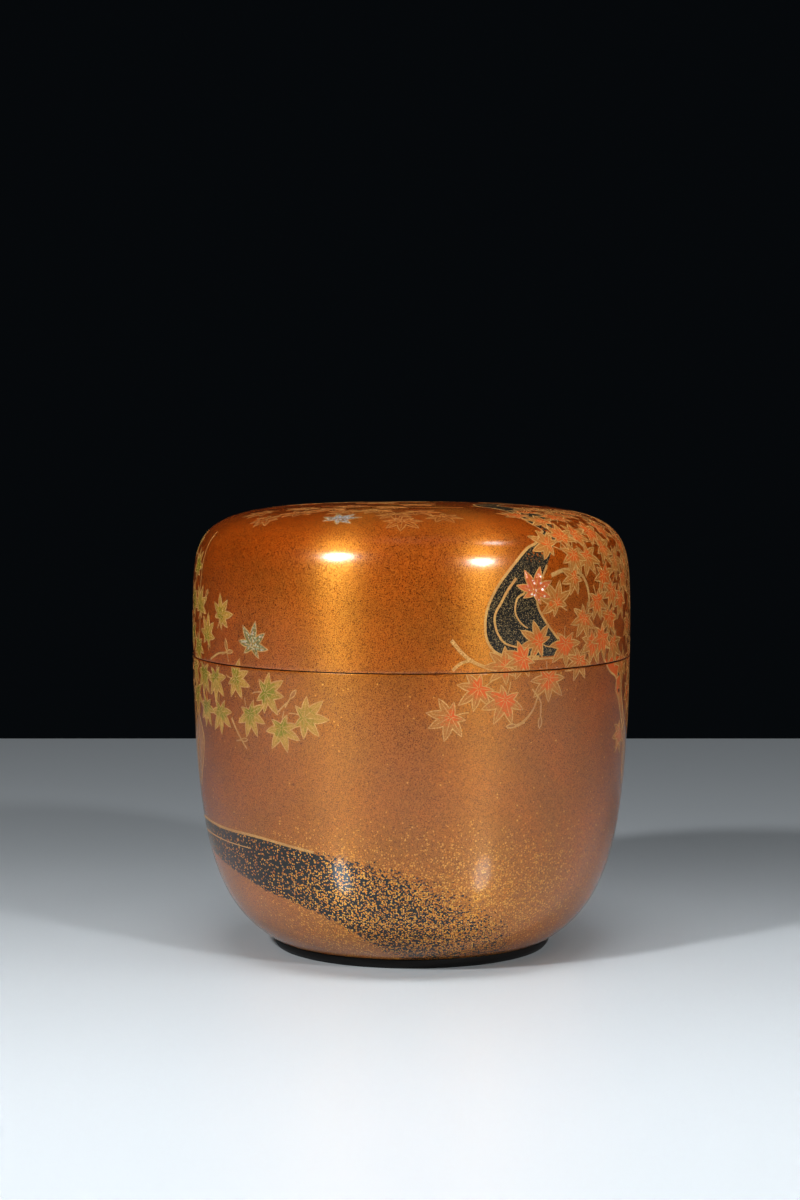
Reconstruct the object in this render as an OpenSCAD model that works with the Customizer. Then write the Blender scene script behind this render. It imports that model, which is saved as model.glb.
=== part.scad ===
// Round lacquered tea caddy: a lathe-turned wooden cup and a deep lift-off lid.
// Both are built up in layers on a thin wooden core, and share one smooth outline
// that turns about Z. Heights are measured from the surface that the caddy stands on.

/* [Outline] */
// Widest diameter of the closed caddy
caddy_d = 66; // [65.6:0.2:68]
// Height of the closed caddy
caddy_h = 66.8; // [66:0.2:68]
// Height of the widest ring, on the lid's side
widest_z = 50.7; // [50:0.1:52]
// Height of the seam, where the lid's rim rests on the body's ledge
seam_z = 44; // [43:0.2:44.6]
// Radius of the crown's nearly flat top
crown_reach = 32; // [30:0.2:32]
// Fall from the crown's top to where the shoulder turns down
shoulder_drop = 1.4; // [1:0.1:2]
// Length of the nearly straight side below the widest ring
side_drop = 32.3; // [30:0.1:33]
// Reach of the belly's turn outwards from the foot
hip_reach = 9.7; // [9:0.1:10.5]
// Rise of the belly's turn above the foot
hip_rise = 5.7; // [5:0.1:6.5]

/* [Foot] */
// Radius where the belly meets the black foot
foot_r = 21.2; // [21:0.1:21.6]
// Height of the black foot
foot_h = 1.4; // [1.3:0.1:1.6]
// Inner radius of the ring that the caddy stands on
ring_in_r = 19.1; // [18.9:0.1:19.3]
// Outer radius of the ring that the caddy stands on
ring_out_r = 20.3; // [20.2:0.1:20.4]
// Depth of the hollow inside the standing ring
recess_h = 0.6; // [0.5:0.1:0.7]

/* [Fit of lid and body] */
// Radius of the bore that slides down over the neck
bore_r = 31.05; // [31:0.01:31.1]
// Radial clearance between the bore and the neck
fit_gap = 0.1; // [0.08:0.01:0.15]
// Hairline gap under the lid's rim
seam_gap = 0.05; // [0.02:0.01:0.1]
// Height of the neck above the seam
neck_h = 8; // [6:0.1:8.2]
// Radius of the body's mouth
mouth_r = 29.3; // [29.1:0.1:29.4]

/* [Insides] */
// Height of the cup's inner floor
floor_z = 5; // [4.5:0.1:6]
// Height below which the cup's inner wall starts to curve in
inner_turn_z = 40; // [38:1:41]
// Height of the lid's inner ceiling
ceiling_z = 64.4; // [64:0.1:64.6]
// Height above which the lid's inner wall starts to curve in
lid_turn_z = 52.5; // [52.5:0.5:54]

/* [Layers] */
// Thickness of the gold-dusted outer lacquer
skin_t = 0.35; // [0.3:0.05:0.4]
// Thickness of the clay ground under the outer lacquer
ground_t = 0.3; // [0.2:0.05:0.3]
// Thickness of the black lacquer coats
coat_t = 0.25; // [0.2:0.05:0.3]
// Thickness of the hemp cloth
cloth_t = 0.2; // [0.15:0.05:0.2]
// Thickness of the shell that stands proud of the lacquer
shell_t = 0.1; // [0.05:0.01:0.15]

/* [Hidden] */
$fn = 96;

// Steps along each curve
crown_steps = 36;
rim_steps = 6;
belly_steps = 36;
inside_steps = 24;

widest_r = caddy_d / 2;
rim_z = seam_z + seam_gap;
neck_r = bore_r - fit_gap;
neck_top_z = seam_z + neck_h;
core_depth = skin_t + ground_t;

// Bevel along the lip of the mouth, round the standing ring and inside the lid's rim
lip = 0.3;
ring_bevel = 0.4;
rim_bevel = 0.15;
// Thickness of the lacquer over the foot, and the height of the wood above the recess
foot_coat_t = 0.3;
base_z = recess_h + foot_coat_t;
// Top of the cloth inside the lid's rim, and radius of the cloth disc under the base
cloth_edge_z = 51;
cloth_disc_r = 18.5;
// How far the lid's ceiling reaches flat, and how far it falls from there to its turn
ceiling_reach = 26;
ceiling_fall = 0.6;
// Reach and rise of the turn at the edge of the cup's floor
floor_turn = [2.3, 1];

// Curves as the four points of a cubic, each [radius, height]
crown_curve = [
    [0, caddy_h],
    [crown_reach, caddy_h],
    [widest_r, caddy_h - shoulder_drop],
    [widest_r, widest_z]
];
belly_curve = [
    [widest_r, widest_z],
    [widest_r, widest_z - side_drop],
    [foot_r + hip_reach, foot_h + hip_rise],
    [foot_r, foot_h]
];
lid_inside_curve = [
    [0, ceiling_z],
    [ceiling_reach, ceiling_z],
    [bore_r, ceiling_z - ceiling_fall],
    [bore_r, lid_turn_z]
];
cup_inside_curve = [
    [mouth_r, inner_turn_z],
    [mouth_r, floor_z + floor_turn.y],
    [mouth_r - floor_turn.x, floor_z],
    [0, floor_z]
];

function curve_point(c, u) =
    pow(1 - u, 3) * c[0] + 3 * u * pow(1 - u, 2) * c[1]
    + 3 * u * u * (1 - u) * c[2] + pow(u, 3) * c[3];

function curve_slope(c, u) =
    pow(1 - u, 2) * (c[1] - c[0]) + 2 * u * (1 - u) * (c[2] - c[1])
    + u * u * (c[3] - c[2]);

// Unit normal on the curve's left hand, which is the outside of every curve here
function curve_normal(c, u) =
    let (s = curve_slope(c, u)) [-s.y, s.x] / norm(s);

// Point at parameter u, moved by d along the normal
function shifted_point(c, u, d) = curve_point(c, u) + d * curve_normal(c, u);

// Part of a curve from u0 to u1, moved by d along its normal
function shifted_curve(c, u0, u1, steps, d) =
    [for (i = [0 : steps]) shifted_point(c, u0 + (u1 - u0) * i / steps, d)];

// Parameter at which a falling curve is at height z, by halving
function u_at_height(c, z, lo = 0, hi = 1, rounds = 30) =
    rounds == 0 ? (lo + hi) / 2
    : let (mid = (lo + hi) / 2)
      curve_point(c, mid).y > z
        ? u_at_height(c, z, mid, hi, rounds - 1)
        : u_at_height(c, z, lo, mid, rounds - 1);

function reversed(list) = [for (i = [len(list) - 1 : -1 : 0]) list[i]];
function without_first(list) = [for (i = [1 : len(list) - 1]) list[i]];
function without_last(list) = [for (i = [0 : len(list) - 2]) list[i]];
function last(list) = list[len(list) - 1];

seam_u = u_at_height(belly_curve, seam_z);
seam_r = curve_point(belly_curve, seam_u).x;
ledge_r = seam_r - skin_t;

// Lid outline from the apex to the rim at height z, sunk by depth
function lid_outline(depth, z) =
    let (
        crown = shifted_curve(crown_curve, 0, 1, crown_steps, -depth),
        side = without_first(shifted_curve(belly_curve, 0, seam_u, rim_steps, -depth))
    )
    concat(crown, without_last(side), [[last(side).x, z]]);

// Body outline from height z at the seam down to the foot, sunk by depth
function body_outline(depth, z) =
    let (belly = shifted_curve(belly_curve, seam_u, 1, belly_steps, -depth))
    concat([[belly[0].x, z]], without_first(belly));

// Lid's inner face from the ceiling to height z, moved into the wood by depth
function lid_inside(depth, z) =
    concat(
        shifted_curve(lid_inside_curve, 0, 1, inside_steps, depth),
        [[bore_r + depth, z]]
    );

// Cup's inner face from height z down to the floor, moved into the wood by depth
function cup_inside(depth, z) =
    concat(
        [[mouth_r + depth, z]],
        shifted_curve(cup_inside_curve, 0, 1, inside_steps, depth)
    );

// Face of the base lacquer that meets the wood, from the belly to the axis
base_lacquer_top = [
    last(body_outline(core_depth, seam_z)),
    [ring_out_r + ring_bevel - foot_coat_t, ring_bevel + 2 * foot_coat_t],
    [ring_out_r - foot_coat_t, foot_coat_t],
    [ring_in_r + foot_coat_t, foot_coat_t],
    [ring_in_r, base_z],
    [0, base_z]
];

module turned(points) {
    rotate_extrude() polygon(points);
}

module between(outer, inner) {
    turned(concat(outer, reversed(inner)));
}

module ring(r_in, r_out, z_low, z_high) {
    turned([[r_in, z_low], [r_out, z_low], [r_out, z_high], [r_in, z_high]]);
}

module body_wood_core() {
    color("burlywood")
    turned(concat(
        body_outline(core_depth, seam_z - coat_t),
        [for (i = [1 : len(base_lacquer_top) - 2]) base_lacquer_top[i]],
        [[cloth_disc_r, base_z], [cloth_disc_r, base_z + cloth_t], [0, base_z + cloth_t]],
        reversed(cup_inside(coat_t, neck_top_z - lip)),
        [
            [neck_r - coat_t - cloth_t, neck_top_z - lip],
            [neck_r - coat_t - cloth_t, seam_z - coat_t]
        ]
    ));
}

module body_mouth_cloth() {
    r_out = neck_r - coat_t;
    color("wheat")
    ring(r_out - cloth_t, r_out, seam_z - coat_t, neck_top_z - lip);
}

module body_base_cloth() {
    color("wheat")
    translate([0, 0, base_z])
    cylinder(r = cloth_disc_r, h = cloth_t);
}

module body_ground_coat() {
    color("sienna")
    between(
        body_outline(skin_t, seam_z - coat_t),
        body_outline(core_depth, seam_z - coat_t)
    );
}

module body_outer_lacquer() {
    color("peru")
    between(body_outline(0, seam_z), body_outline(skin_t, seam_z));
}

module body_inner_lacquer() {
    color("black")
    between(
        cup_inside(coat_t, neck_top_z - lip),
        cup_inside(0, neck_top_z - lip)
    );
}

// Covers the ledge, the neck's outside and the lip of the mouth
module neck_lacquer() {
    color("black")
    turned([
        [ledge_r, seam_z],
        [neck_r, seam_z],
        [neck_r, neck_top_z - lip],
        [neck_r - lip, neck_top_z],
        [mouth_r + lip, neck_top_z],
        [mouth_r, neck_top_z - lip],
        [neck_r - coat_t, neck_top_z - lip],
        [neck_r - coat_t, seam_z - coat_t],
        [ledge_r, seam_z - coat_t]
    ]);
}

module base_lacquer() {
    color("black")
    turned(concat(
        [
            [0, recess_h],
            [ring_in_r - ring_bevel, recess_h],
            [ring_in_r, 0],
            [ring_out_r, 0],
            [ring_out_r + ring_bevel, ring_bevel],
            [foot_r, foot_h]
        ],
        base_lacquer_top
    ));
}

module lid_wood_core() {
    color("burlywood")
    turned(concat(
        lid_outline(core_depth, rim_z + coat_t),
        [
            [bore_r + coat_t + cloth_t, rim_z + coat_t],
            [bore_r + coat_t + cloth_t, cloth_edge_z],
            [bore_r + coat_t, cloth_edge_z]
        ],
        without_first(reversed(lid_inside(coat_t, rim_z)))
    ));
}

module lid_rim_cloth() {
    r_in = bore_r + coat_t;
    color("wheat")
    ring(r_in, r_in + cloth_t, rim_z + coat_t, cloth_edge_z);
}

module lid_ground_coat() {
    color("sienna")
    between(
        lid_outline(skin_t, rim_z + coat_t),
        lid_outline(core_depth, rim_z + coat_t)
    );
}

module lid_outer_lacquer() {
    color("chocolate")
    between(lid_outline(0, rim_z), lid_outline(skin_t, rim_z));
}

module lid_inner_lacquer() {
    color("black")
    between(
        lid_inside(coat_t, rim_z + coat_t),
        lid_inside(0, rim_z + coat_t)
    );
}

module lid_rim_lacquer() {
    color("black")
    turned([
        [bore_r, rim_z + coat_t],
        [bore_r + rim_bevel, rim_z],
        [ledge_r, rim_z],
        [ledge_r, rim_z + coat_t]
    ]);
}

// Maple leaf of seven lobes in the XY plane, its middle lobe along +Y
lobe_angles = [-150, -98, -48, 0, 48, 98, 150];
lobe_lengths = [0.75, 0.9, 0.97, 1, 0.97, 0.9, 0.75];
valley_length = 0.42;

function leaf_outline(size) =
    [for (i = [0 : len(lobe_angles) - 1]) each
        let (
            tip = lobe_angles[i],
            next = i < len(lobe_angles) - 1 ? lobe_angles[i + 1] : lobe_angles[0] + 360,
            valley = (tip + next) / 2
        )
        [
            size * lobe_lengths[i] * [sin(tip), cos(tip)],
            size * valley_length * [sin(valley), cos(valley)]
        ]
    ];

// Shell leaves on the lid, each [angle from the front towards +X, height, spin]
left_leaf = [-43.7, 47.3, 0];
right_leaf = [31.6, 55.3, 5];
top_leaf = [-24, 65.2, 25];
leaf_size = 3.1;
// Height of the prism that cuts a leaf from the film of shell
cutter_h = 3;

// Thin shell leaf, cut from a film that lies on the lid's outer lacquer
module shell_leaf(around, height, spin) {
    curve = height > widest_z ? crown_curve : belly_curve;
    u = u_at_height(curve, height);
    site = curve_point(curve, u);
    n = curve_normal(curve, u);
    color("lightsteelblue")
    intersection() {
        between(lid_outline(-shell_t, rim_z), lid_outline(0, rim_z));
        rotate([0, 0, around])
        translate([0, -site.x, site.y])
        rotate([90 - atan2(n.y, n.x), 0, 0])
        rotate([0, 0, spin])
        linear_extrude(height = cutter_h, center = true)
        polygon(leaf_outline(leaf_size));
    }
}

module lid_shell_leaf_left() {
    shell_leaf(left_leaf.x, left_leaf.y, left_leaf.z);
}

module lid_shell_leaf_right() {
    shell_leaf(right_leaf.x, right_leaf.y, right_leaf.z);
}

module lid_shell_leaf_top() {
    shell_leaf(top_leaf.x, top_leaf.y, top_leaf.z);
}

body_wood_core();
body_mouth_cloth();
body_base_cloth();
body_ground_coat();
body_outer_lacquer();
body_inner_lacquer();
neck_lacquer();
base_lacquer();
lid_wood_core();
lid_rim_cloth();
lid_ground_coat();
lid_outer_lacquer();
lid_inner_lacquer();
lid_rim_lacquer();
lid_shell_leaf_left();
lid_shell_leaf_right();
lid_shell_leaf_top();
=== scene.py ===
"""Lacquered tea caddy with a lift-off lid, gold-dusted and painted with maples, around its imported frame."""
import bpy, bmesh, math, random
import numpy as np
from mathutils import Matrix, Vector
from mathutils.geometry import delaunay_2d_cdt


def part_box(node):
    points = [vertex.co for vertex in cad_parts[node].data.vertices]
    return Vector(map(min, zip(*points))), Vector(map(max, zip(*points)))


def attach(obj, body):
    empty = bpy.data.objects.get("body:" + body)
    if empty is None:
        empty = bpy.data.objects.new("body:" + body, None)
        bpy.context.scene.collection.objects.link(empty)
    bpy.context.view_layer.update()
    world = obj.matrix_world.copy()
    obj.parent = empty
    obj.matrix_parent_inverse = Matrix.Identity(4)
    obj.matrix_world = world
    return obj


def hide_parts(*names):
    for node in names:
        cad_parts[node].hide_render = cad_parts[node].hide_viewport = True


MM = 0.001
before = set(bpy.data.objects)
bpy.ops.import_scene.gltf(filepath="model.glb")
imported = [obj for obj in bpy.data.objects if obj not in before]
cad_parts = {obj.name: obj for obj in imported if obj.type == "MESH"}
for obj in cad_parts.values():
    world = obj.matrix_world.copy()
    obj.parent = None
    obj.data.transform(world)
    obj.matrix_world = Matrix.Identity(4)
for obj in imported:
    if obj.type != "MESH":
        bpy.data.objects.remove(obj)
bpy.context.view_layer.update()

# ---- Outline, from the frame: half a section as [radius, height], in metres ----
lid_low, lid_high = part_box("lid_outer_lacquer")
body_low, body_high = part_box("body_outer_lacquer")
_, base_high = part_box("base_lacquer")
_, neck_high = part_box("neck_lacquer")
lining_low, lining_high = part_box("body_inner_lacquer")
_, hollow_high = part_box("lid_inner_lacquer")
WIDEST_R, TOP_Z = lid_high.x, lid_high.z
WIDEST_Z = 50.7 * MM
SEAM_Z, RIM_Z = body_high.z, lid_low.z
FOOT_R, FOOT_Z = base_high.x, body_low.z
CROWN_REACH = 32 * MM         # this and the next four shape the outline's two curves
SHOULDER_DROP = 1.4 * MM
SIDE_DROP = 32.3 * MM
HIP_REACH, HIP_RISE = 9.7 * MM, 5.7 * MM
COAT_T = 0.25 * MM            # black lacquer inside and on the neck
LEDGE_R, NECK_TOP_Z = neck_high.x, neck_high.z
MOUTH_R = lining_high.x - COAT_T
NECK_R = MOUTH_R + 1.65 * MM
BORE_R = NECK_R + 0.1 * MM
LIP_Z = NECK_TOP_Z - 0.3 * MM
FLOOR_Z = lining_low.z + COAT_T
FLOOR_TURN = 2.3 * MM         # how far the floor's rounding starts inside the wall
WALL_Z = 40 * MM              # the cup's wall is straight above this
CEILING_Z = hollow_high.z - COAT_T
CEILING_REACH, CEILING_FALL = 26 * MM, 0.6 * MM
LID_WALL_Z = 52.5 * MM        # the lid's bore is straight below this
RECESS_Z = 0.6 * MM           # under the foot
SINK = 0.1 * MM               # the dusted ground lies this far under the CAD skin, and the picture fills it
SHELL_DEPTH = 0.24 * MM       # of the visible coat, from the ground inwards
ARRIS = 0.10 * MM             # rounding of the two edges at the seam
GROOVE = 0.14 * MM            # width of the dark line between them

CROWN = [(0, TOP_Z), (CROWN_REACH, TOP_Z), (WIDEST_R, TOP_Z - SHOULDER_DROP), (WIDEST_R, WIDEST_Z)]
BELLY = [
    (WIDEST_R, WIDEST_Z), (WIDEST_R, WIDEST_Z - SIDE_DROP),
    (FOOT_R + HIP_REACH, FOOT_Z + HIP_RISE), (FOOT_R, FOOT_Z),
]


def cubic(points, count):
    """Points along a cubic curve, and the unit normals on its outer side."""
    p = np.array(points)
    u = np.linspace(0, 1, count)[:, None]
    where = ((1 - u) ** 3 * p[0] + 3 * u * (1 - u) ** 2 * p[1]
             + 3 * u * u * (1 - u) * p[2] + u ** 3 * p[3])
    slope = (1 - u) ** 2 * (p[1] - p[0]) + 2 * u * (1 - u) * (p[2] - p[1]) + u * u * (p[3] - p[2])
    normal = np.stack([-slope[:, 1], slope[:, 0]], axis=1)
    return where, normal / np.linalg.norm(normal, axis=1, keepdims=True)


crown_points, crown_normals = cubic(CROWN, 1500)
belly_points, belly_normals = cubic(BELLY, 1500)
OUTLINE_N = np.concatenate([crown_normals, belly_normals[1:]])
OUTLINE = np.concatenate([crown_points, belly_points[1:]]) - SINK * OUTLINE_N
ARC = np.concatenate([[0], np.cumsum(np.linalg.norm(np.diff(OUTLINE, axis=0), axis=1))])


def section(arc):
    """Radius, height and normal of the dusted ground at an arc length from the apex."""
    arc = np.asarray(arc, float)
    point = np.stack([np.interp(arc, ARC, OUTLINE[:, i]) for i in (0, 1)], axis=-1)
    normal = np.stack([np.interp(arc, ARC, OUTLINE_N[:, i]) for i in (0, 1)], axis=-1)
    return point, normal / np.linalg.norm(normal, axis=-1, keepdims=True)


def on_ground(around, arc, lift=0.0):
    """Points on the ground, at angles from the front towards +X in radians, and their normals."""
    point, normal = section(arc)
    around = np.broadcast_to(around, point[..., 0].shape)
    outward = np.stack([
        normal[..., 0] * np.sin(around), -normal[..., 0] * np.cos(around), normal[..., 1]], axis=-1)
    ground = np.stack([
        point[..., 0] * np.sin(around), -point[..., 0] * np.cos(around), point[..., 1]], axis=-1)
    return ground + np.asarray(lift)[..., None] * outward, outward


def arc_at_height(z):
    """Arc length at which the side comes down to a height."""
    return float(np.interp(-z, -OUTLINE[:, 1], ARC))


def lay(around, arc, plane):
    """Points of a small flat drawing, x to the right and y up round a site, laid down on the ground."""
    (centre,), (outward,) = on_ground(np.array([around]), np.array([arc]))
    right = np.array([math.cos(around), math.sin(around), 0.0])
    up = np.cross(outward, right)
    placed = centre + plane[:, :1] * right + plane[:, 1:] * up
    flat = np.stack([np.hypot(placed[:, 0], placed[:, 1]), placed[:, 2]], axis=1)
    near = np.flatnonzero(np.abs(ARC - arc) < 12 * MM)
    gap = flat[:, None, :] - OUTLINE[None, near, :]
    nearest = near[np.argmin((gap ** 2).sum(axis=2), axis=1)]
    along = np.stack([OUTLINE_N[nearest, 1], -OUTLINE_N[nearest, 0]], axis=1)
    beyond = ((flat - OUTLINE[nearest]) * along).sum(axis=1)
    return np.arctan2(placed[:, 0], -placed[:, 1]), np.clip(ARC[nearest] + beyond, 0, ARC[-1])


SEAM_ARC = arc_at_height(SEAM_Z)


# ---- Materials ----
class Shade:
    """One material's node tree, with short calls for its nodes."""

    def __init__(self, name, **sockets):
        self.material = bpy.data.materials.new(name)
        self.material.use_nodes = True
        self.tree = self.material.node_tree
        self.shader = self.tree.nodes["Principled BSDF"]
        for socket, value in sockets.items():
            self.set(socket.replace("_", " ").title().replace("Ior", "IOR"), value)

    def node(self, kind, inputs=(), **settings):
        """A node with its settings, and with inputs, by name or index, set or linked."""
        made = self.tree.nodes.new("ShaderNode" + kind)
        for key, value in settings.items():
            setattr(made, key, value)
        for key, value in dict(inputs).items():
            self.feed(made.inputs[key], value)
        return made

    def feed(self, socket, value):
        """Links a socket to another, or sets it to a value; colours are (red, green, blue)."""
        if isinstance(value, bpy.types.NodeSocket):
            self.tree.links.new(value, socket)
        else:
            socket.default_value = (*value, 1) if socket.type == "RGBA" else value

    def math(self, operation, *values):
        return self.node("Math", enumerate(values), operation=operation).outputs[0]

    def vector(self, operation, *values):
        return self.node("VectorMath", enumerate(values), operation=operation).outputs[0]

    def mix(self, factor, low, high):
        return self.node("Mix", {"Factor": factor, 6: low, 7: high}, data_type="RGBA").outputs[2]

    def ramp(self, value, low, high):
        """0 below low, 1 above high, smooth between."""
        inputs = {"Value": value, "From Min": low, "From Max": high}
        return self.node("MapRange", inputs, interpolation_type="SMOOTHSTEP").outputs["Result"]

    def place(self):
        return self.node("TexCoord").outputs["Object"]

    def noise(self, size, detail=2.0, rough=0.5, stretch=(1, 1, 1)):
        """Soft noise with features about this many metres across."""
        where = self.vector("MULTIPLY", self.place(), stretch)
        inputs = {"Vector": where, "Scale": 1 / size, "Detail": detail, "Roughness": rough}
        return self.node("TexNoise", inputs).outputs["Fac"]

    def flakes(self, size, shift=0.0):
        """Random flakes: a colour for each flake, and the distance from its middle over its size."""
        where = self.vector("ADD", self.place(), (shift, shift, shift))
        made = self.node("TexVoronoi", {"Vector": where, "Scale": 1 / size})
        return made.outputs["Color"], made.outputs["Distance"]

    def part(self, colour, index):
        return self.node("SeparateColor", {0: colour}).outputs[index]

    def attribute(self, name):
        return self.node("Attribute", attribute_name=name).outputs["Fac"]

    def colour(self, value):
        self.feed(self.shader.inputs["Base Color"], value)

    def set(self, socket, value):
        self.feed(self.shader.inputs[socket], value)

    def bump(self, height, distance, strength=1.0):
        made = self.node("Bump", {"Height": height, "Distance": distance, "Strength": strength})
        self.set("Normal", made.outputs["Normal"])

    def tilt_flakes(self, colour, amount):
        """Turns each flake's surface a little its own way, under a coat that stays smooth."""
        lean = self.vector("SUBTRACT", colour, (0.5, 0.5, 0.5))
        scale = self.node("VectorMath", {0: lean, "Scale": amount}, operation="SCALE")
        leaned = self.vector("ADD", self.node("NewGeometry").outputs["Normal"], scale.outputs[0])
        self.set("Normal", self.vector("NORMALIZE", leaned))

    def polish_round(self):
        """Polishing strokes run round the axis, so gloss spreads up and down."""
        self.set("Tangent", self.node("Tangent", direction_type="RADIAL", axis="Z").outputs[0])


COAT = dict(coat_weight=1.0, coat_roughness=0.17, coat_ior=1.5)
DUST = dict(anisotropic_rotation=0.25, ior=2.9, specular_tint=(1.0, 0.52, 0.07))
SPECK = (0.14, 0.038, 0.006)
AMBER_DEEP = (0.09, 0.010, 0.0003)
AMBER, AMBER_BELOW = (0.54, 0.066, 0.0010), (0.42, 0.050, 0.0010)
DUST_RED, DUST_GOLD = (0.80, 0.22, 0.015), (0.95, 0.42, 0.05)
FLAKE_ORANGE, FLAKE_GOLD = (0.64, 0.18, 0.012), (0.80, 0.40, 0.06)
INK = (0.009, 0.008, 0.007)


def dust_layers(s, amber):
    """Colour and metal share of the fine gold dust in amber lacquer, and its flakes' colours."""
    dust, _ = s.flakes(0.085 * MM)
    gold_share = s.math("MULTIPLY", s.ramp(s.part(dust, 0), 0.60, 1.0), 0.40)
    hue = s.mix(s.part(dust, 1), DUST_RED, DUST_GOLD)
    cloud = s.math("MULTIPLY_ADD", s.noise(7 * MM, 3), 0.8, -0.20)
    depth = s.math("MULTIPLY_ADD", s.part(dust, 2), 0.4, s.math("ADD", cloud, 0.15))
    speck = s.math("SUBTRACT", 1.0, s.ramp(s.part(dust, 2), 0.10, 0.34))
    colour = s.mix(gold_share, s.mix(depth, AMBER_DEEP, amber), hue)
    return s.mix(speck, colour, SPECK), s.math("MAXIMUM", gold_share, speck), dust


def gold_dust_material():
    """Fine gold dust in amber lacquer under a polished coat."""
    s = Shade("gold_dust", roughness=0.40, anisotropic=0.86, **DUST, **COAT)
    colour, gold_share, dust = dust_layers(s, AMBER)
    s.colour(colour)
    s.set("Metallic", gold_share)
    s.tilt_flakes(dust, 0.10)
    s.polish_round()
    return s.material


def body_dust_material():
    """The same dust, with a black band strewn with coarse flakes where the mesh's attributes say."""
    s = Shade("gold_dust_with_band", roughness=0.46, anisotropic=0.72, **DUST, **COAT)
    colour, gold_share, dust = dust_layers(s, AMBER_BELOW)
    grit, _ = s.flakes(0.24 * MM, 0.013)
    ink_share = s.math("LESS_THAN", s.part(grit, 0), s.attribute("ink"))
    colour = s.mix(ink_share, colour, INK)
    metal = s.math("MAXIMUM", gold_share, ink_share)
    density = s.attribute("sprinkle")
    for size, shift, reach in ((0.33 * MM, 0.0, 0.44), (0.24 * MM, 0.007, 0.48)):
        flake, distance = s.flakes(size, shift)
        chosen = s.math("LESS_THAN", s.part(flake, 0), density)
        share = s.math("MULTIPLY", chosen, s.math("LESS_THAN", distance, reach))
        colour = s.mix(share, colour, s.mix(s.part(flake, 1), FLAKE_ORANGE, FLAKE_GOLD))
        bare = s.math("MULTIPLY", metal, s.math("SUBTRACT", 1.0, share))
        metal = s.math("MULTIPLY_ADD", share, 0.65, bare)
    s.colour(colour)
    s.set("Metallic", metal)
    s.tilt_flakes(dust, 0.10)
    s.polish_round()
    return s.material


def black_lacquer_material():
    """Black lacquer, polished, with the faint haze that handling leaves."""
    s = Shade("black_lacquer", specular_ior_level=0.5, **COAT)
    haze = s.ramp(s.noise(9 * MM, 4), 0.35, 0.75)
    s.colour(s.mix(haze, (0.010, 0.009, 0.009), (0.016, 0.013, 0.012)))
    s.set("Roughness", s.math("MULTIPLY_ADD", haze, 0.12, 0.12))
    return s.material


def foot_material():
    """The foot's black lacquer, darker and duller than the rest, with no coat."""
    s = Shade("foot_lacquer", specular_ior_level=0.12)
    foot_mottle = s.noise(1.5 * MM, 4)
    s.colour(s.mix(foot_mottle, (0.004, 0.004, 0.004), (0.012, 0.010, 0.009)))
    s.set("Roughness", s.math("MULTIPLY_ADD", foot_mottle, 0.3, 0.35))
    return s.material


def trunk_material():
    """Black lacquer strewn with fine gold grit."""
    s = Shade("trunk_lacquer", roughness=0.35, specular_ior_level=0.0, **COAT)
    grit, reach = s.flakes(0.10 * MM)
    share = s.math("MULTIPLY", s.ramp(s.part(grit, 0), 0.62, 0.95), s.math("LESS_THAN", reach, 0.55))
    hue = s.mix(s.part(grit, 1), (0.34, 0.22, 0.09), (0.62, 0.44, 0.18))
    s.colour(s.mix(share, (0.016, 0.013, 0.010), hue))
    s.set("Metallic", s.math("MULTIPLY", share, 0.6))
    s.tilt_flakes(grit, 0.4)
    return s.material


def gold_line_material():
    """Gold powder on raised lacquer, slightly worn."""
    s = Shade("gold_line", roughness=0.42, specular_ior_level=0.2, metallic=0.3,
              coat_weight=0.2, coat_roughness=0.15)
    grain, _ = s.flakes(0.1 * MM)
    worn = s.ramp(s.noise(2.5 * MM, 3), 0.35, 0.7)
    fresh = s.mix(s.part(grain, 0), (0.48, 0.22, 0.05), (0.72, 0.41, 0.13))
    s.colour(s.mix(s.math("MULTIPLY", worn, 0.5), fresh, (0.42, 0.16, 0.04)))
    s.tilt_flakes(grain, 0.5)
    return s.material


def leaf_material(name, heart, field, pale):
    """Leaf in coloured powders: a bright heart that scatters outwards into a bronze field."""
    s = Shade(name, roughness=0.42, specular_ior_level=0.0, **COAT)
    grain, _ = s.flakes(0.12 * MM)
    blotch = s.math("SUBTRACT", s.noise(1.1 * MM, 3, 0.6), 0.5)
    scatter = s.math("SUBTRACT", s.part(grain, 0), 0.5)
    tone = s.attribute("tone")
    reach = s.math("ADD", s.attribute("heart"), s.math("MULTIPLY_ADD", blotch, 1.5, s.math(
        "MULTIPLY_ADD", scatter, 0.35, s.math("MULTIPLY_ADD", tone, 0.3, -0.15))))
    bright = s.ramp(reach, 0.45, 0.88)
    ground = s.mix(s.part(grain, 1), field, pale)
    s.colour(s.mix(bright, ground, heart))
    s.set("Metallic", s.math("MULTIPLY", s.part(grain, 2), 0.35))
    s.tilt_flakes(grain, 0.35)
    return s.material


def shell_material(name, under, share, dull, pale):
    """Crushed shell set close in lacquer: pale chips, each with its own faint hue."""
    s = Shade(name, roughness=0.28, **COAT)
    chips, reach = s.flakes(0.30 * MM)
    hue = s.mix(s.part(chips, 1), dull, pale)
    hue = s.mix(s.ramp(s.part(chips, 2), 0.65, 0.9), hue, (0.52, 0.40, 0.32))
    covered = s.math("MULTIPLY", s.math("LESS_THAN", s.part(chips, 0), share),
                     s.math("LESS_THAN", reach, 0.55))
    s.colour(s.mix(covered, under, hue))
    s.set("Metallic", s.math("MULTIPLY", covered, 0.2))
    s.tilt_flakes(chips, 0.5)
    return s.material


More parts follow.
